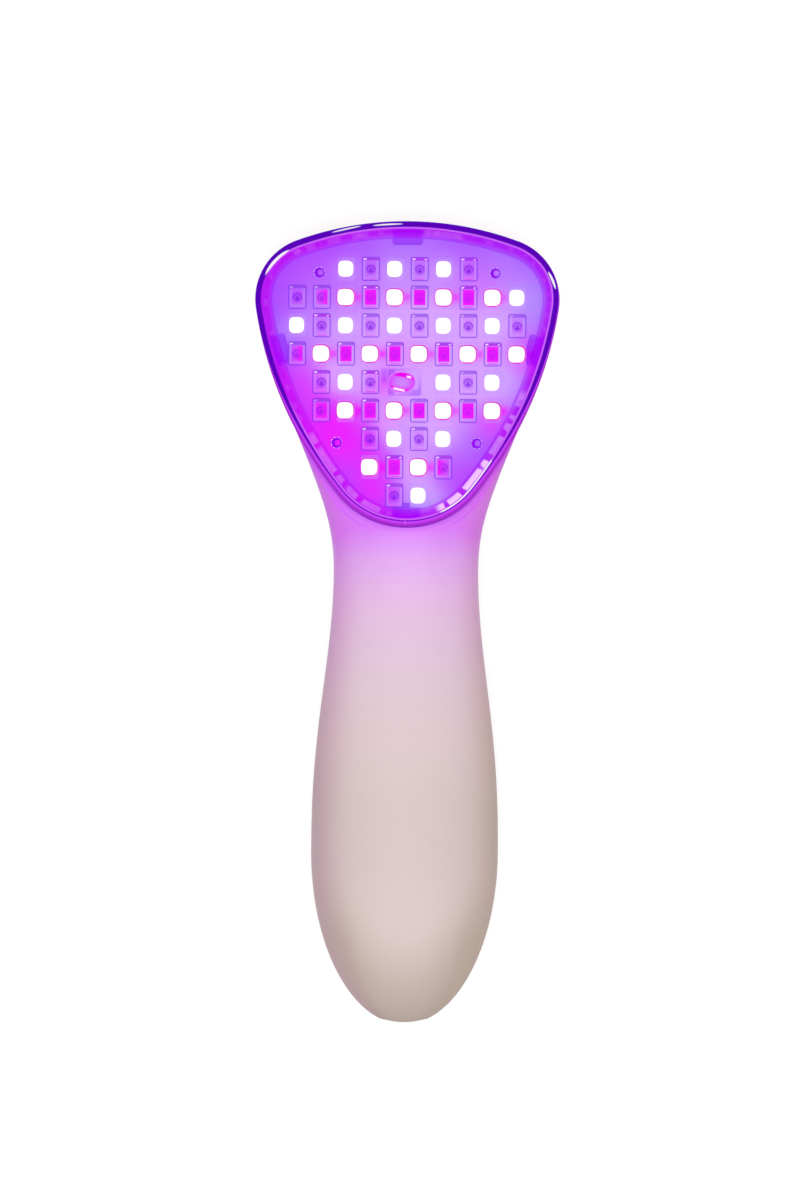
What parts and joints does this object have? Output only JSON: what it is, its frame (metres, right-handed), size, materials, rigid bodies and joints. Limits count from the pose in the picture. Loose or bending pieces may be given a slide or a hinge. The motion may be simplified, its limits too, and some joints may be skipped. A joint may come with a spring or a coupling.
{
  "type": "led light therapy device",
  "caption": "Hand-held light therapy wand: rounded-triangle head with a clear window over a light board, waisted neck, egg-shaped grip and a power button in the back of the neck.",
  "frame": {"origin": "middle of the device's footprint, on the surface that its flattened back lies on", "axes": "+X across the device, +Y from the tip of the handle to the crown of the head, +Z out of the light window"},
  "size_m": [0.0648, 0.1706, 0.0314],
  "materials": {
    "housing": "satin warm-white moulded shell",
    "clear_cover": "thick clear gloss moulding, lit violet from inside",
    "clear_lens": "clear gloss",
    "emitter_board": "lilac-lit white board with clear emitter blocks",
    "carrier": "white moulding",
    "silicone": "soft translucent white",
    "aluminium": "brushed sheet",
    "steel": "plated screw",
    "socket_steel": "drawn steel shell",
    "nickel": "nickel strip",
    "black_plastic": "black moulding",
    "button": "satin warm white, a shade darker than the shell",
    "cell_sleeve": "shrink sleeve",
    "foam": "open foam",
    "circuit_board": "green solder mask",
    "flat_cable": "amber film",
    "red_lead": "insulated lead",
    "black_lead": "insulated lead"
  },
  "bodies": {
    "device": {"rear_shell": "housing", "front_shell": "housing", "window_cover": "clear_cover", "window_gasket": "silicone", "led_board": "emitter_board", "sensor_lens": "clear_lens", "led_carrier": "carrier", "heat_spreader": "aluminium", "housing_screw_upper_left": "steel", "housing_screw_upper_right": "steel", "housing_screw_lower_left": "steel", "housing_screw_lower_right": "steel", "battery_cradle": "black_plastic", "cradle_screw_left": "steel", "cradle_screw_right": "steel", "battery_cell": "cell_sleeve", "battery_tab_positive": "nickel", "battery_tab_negative": "nickel", "battery_foam": "foam", "main_board": "circuit_board", "board_screw_left": "steel", "board_screw_right": "steel", "tact_switch": "black_plastic", "indicator_light_pipe": "clear_lens", "charge_board": "circuit_board", "usb_socket": "socket_steel", "charge_board_screw": "steel", "led_cable": "flat_cable", "battery_lead_red": "red_lead", "battery_lead_black": "black_lead", "charge_lead_red": "red_lead", "charge_lead_black": "black_lead"},
    "button": {"power_button": "button", "switch_plunger": "silicone"}
  },
  "joints": [
    {"name": "power_button_press", "type": "slide", "parent": "device", "child": "button", "axis": [0, 0, 1], "range_m": [0, 0.0005], "stiffness_N_per_m": 800, "springref_m": -0.0003}
  ]
}
